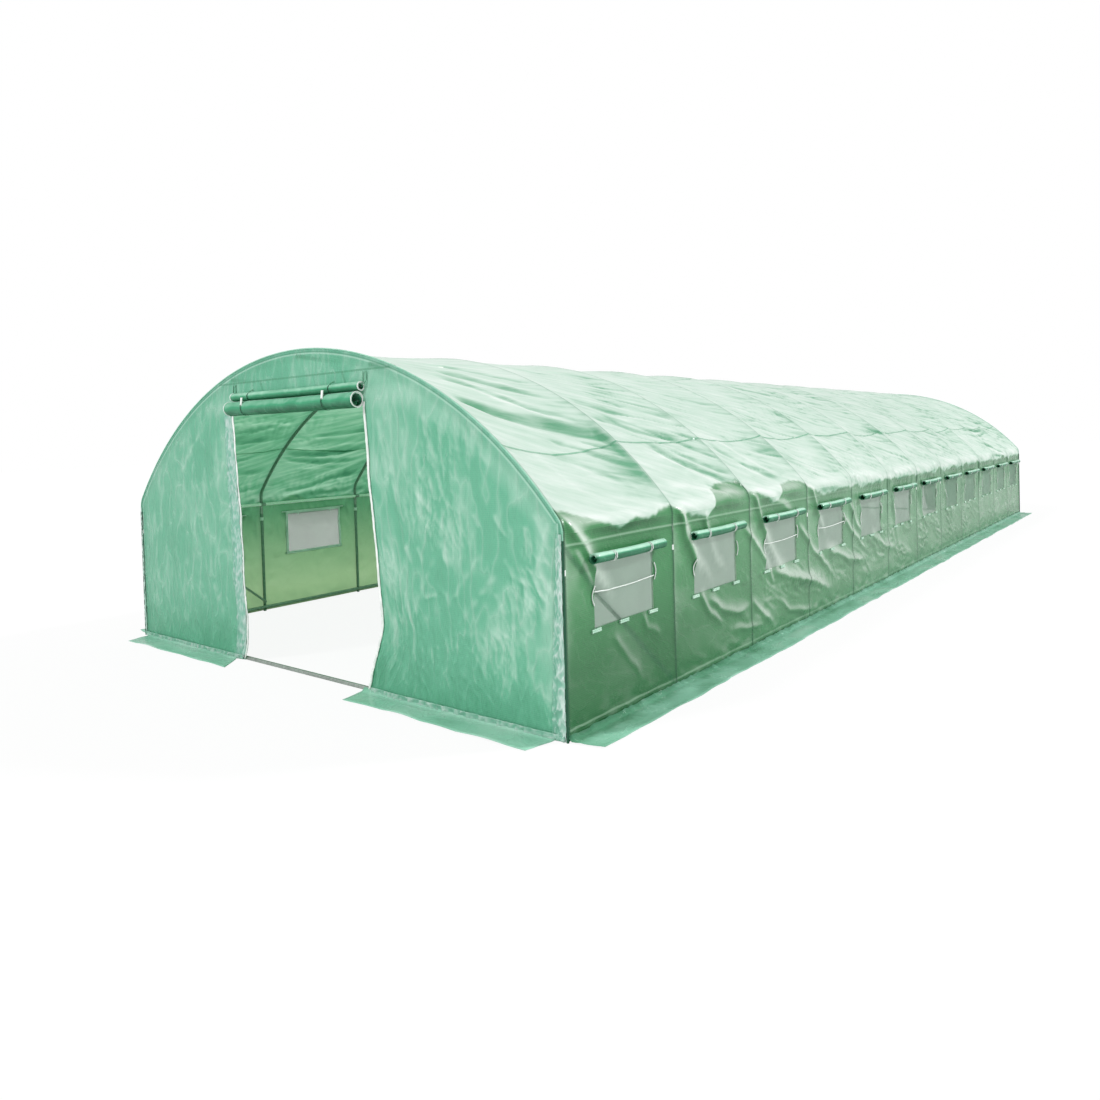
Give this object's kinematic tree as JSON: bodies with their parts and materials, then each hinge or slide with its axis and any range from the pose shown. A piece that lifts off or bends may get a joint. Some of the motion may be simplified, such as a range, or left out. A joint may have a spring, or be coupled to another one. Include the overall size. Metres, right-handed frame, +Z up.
{
  "type": "polytunnel greenhouse",
  "caption": "Walk-in arched polytunnel greenhouse: steel hoop frame, translucent green cover, screened side windows with rolled flaps, and rolled-up end doors.",
  "frame": {"origin": "centre of the tunnel's footprint, on the ground", "axes": "+X across the tunnel to the right seen from the front door, +Y along the tunnel away from the front door, +Z up"},
  "size_m": [4.4056, 12.4022, 1.9958],
  "materials": {
    "galvanised_tube": "zinc-plated round steel tube, slightly dull",
    "roof_film": "pale translucent woven polyethylene film, glossy and creased",
    "side_film": "olive green translucent woven polyethylene film, glossy and creased",
    "gable_film": "mint green translucent woven polyethylene film with a fine grid weave",
    "insect_mesh": "pale grey fine insect netting",
    "rolled_film": "green woven film in many layers, with white hems",
    "ground_flap_film": "green woven film, flat on the ground"
  },
  "bodies": {
    "root": {"arch_01": "galvanised_tube", "arch_02": "galvanised_tube", "arch_03": "galvanised_tube", "arch_04": "galvanised_tube", "arch_05": "galvanised_tube", "arch_06": "galvanised_tube", "arch_07": "galvanised_tube", "arch_08": "galvanised_tube", "arch_09": "galvanised_tube", "arch_10": "galvanised_tube", "arch_11": "galvanised_tube", "arch_12": "galvanised_tube", "arch_13": "galvanised_tube", "back_door_roll": "rolled_film", "back_gable_left": "gable_film", "back_gable_right": "gable_film", "back_gable_top": "gable_film", "back_screen_roll": "rolled_film", "base_rails": "galvanised_tube", "diagonal_braces": "galvanised_tube", "door_headers": "galvanised_tube", "eave_cover_left": "roof_film", "eave_cover_right": "roof_film", "eave_rails": "galvanised_tube", "end_rails": "galvanised_tube", "end_skirts": "ground_flap_film", "front_door_roll": "rolled_film", "front_gable_left": "gable_film", "front_gable_right": "gable_film", "front_gable_top": "gable_film", "front_screen_roll": "rolled_film", "ridge_purlin": "galvanised_tube", "roof_cover_left_lower": "roof_film", "roof_cover_left_upper": "roof_film", "roof_cover_right_lower": "roof_film", "roof_cover_right_upper": "roof_film", "side_cover_left": "side_film", "side_cover_right": "side_film", "side_posts": "galvanised_tube", "side_purlins": "galvanised_tube", "side_skirts": "ground_flap_film", "window_rolls_left": "rolled_film", "window_rolls_right": "rolled_film", "window_screens_left": "insect_mesh", "window_screens_right": "insect_mesh"}
  },
  "joints": []
}
